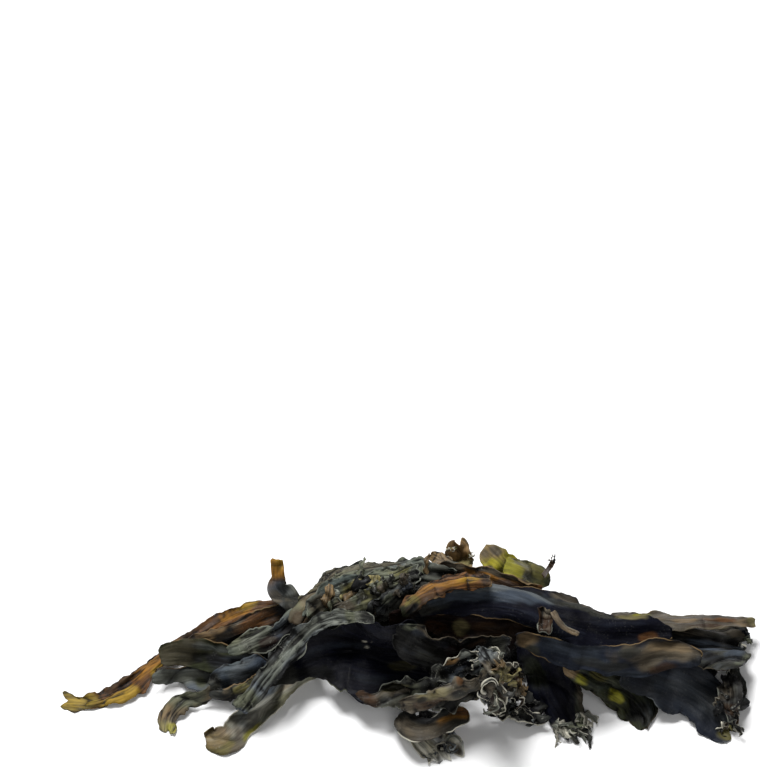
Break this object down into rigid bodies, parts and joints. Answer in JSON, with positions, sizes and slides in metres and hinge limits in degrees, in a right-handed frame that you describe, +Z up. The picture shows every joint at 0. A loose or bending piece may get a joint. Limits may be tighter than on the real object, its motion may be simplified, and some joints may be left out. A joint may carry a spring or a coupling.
{
  "type": "dried seaweed bundle",
  "caption": "Loose bundle of dried wakame: long folded blades and narrow strips, crinkled, curled and laid one on another.",
  "frame": {"origin": "middle of the bundle's underside, on the table", "axes": "+X along the bundle's length, to the right as seen from the front; +Y away from the front; +Z up"},
  "size_m": [0.209, 0.077, 0.0374],
  "materials": {
    "dark_blade": "blackish green dried blade, satin",
    "grey_blade": "grey-green dried blade, matte",
    "amber_blade": "thin amber-brown dried blade, satin",
    "olive_blade": "thin olive-yellow dried blade, satin"
  },
  "bodies": {
    "root": {"table_sheet_left": "dark_blade", "table_sheet_right": "dark_blade", "back_sheet": "dark_blade", "back_roll": "dark_blade", "inner_roll": "dark_blade", "amber_strip": "amber_blade", "brown_lobe": "amber_blade", "lower_lobe": "grey_blade", "front_tip": "olive_blade", "blunt_lobe": "dark_blade", "upright_sprig": "amber_blade", "grey_upper_lobe": "grey_blade", "blue_lobe": "dark_blade", "tan_lobe": "olive_blade", "lower_left_strap": "olive_blade", "top_ragged_leaf": "olive_blade", "top_left_point": "grey_blade", "yellow_leaf": "olive_blade", "olive_leaf": "olive_blade", "twig": "amber_blade", "top_brown_sheet": "amber_blade", "arch_blade": "grey_blade", "arch_fold": "grey_blade", "crumple_left": "grey_blade", "crumple_right": "grey_blade", "shadow_sheet": "amber_blade", "hanging_sheet": "dark_blade", "lower_right_lobe": "dark_blade", "corner_sheet": "dark_blade", "right_fringe_grey": "grey_blade", "right_fringe_brown": "amber_blade", "right_upper_sheet": "dark_blade", "right_rim": "grey_blade", "upper_right_blade": "dark_blade", "amber_roll": "amber_blade", "mid_right_blade": "dark_blade", "centre_dark_sheet": "dark_blade", "scallop_sheet": "dark_blade", "long_grey_strap": "grey_blade", "front_cup_lower": "grey_blade", "front_cup_upper": "amber_blade", "centre_lower_edge": "olive_blade", "grey_frilled_leaf": "grey_blade", "lower_band": "olive_blade", "black_frill": "dark_blade", "tan_frill": "olive_blade", "curl_ring": "grey_blade", "stub": "olive_blade", "stalk": "grey_blade"}
  },
  "joints": []
}
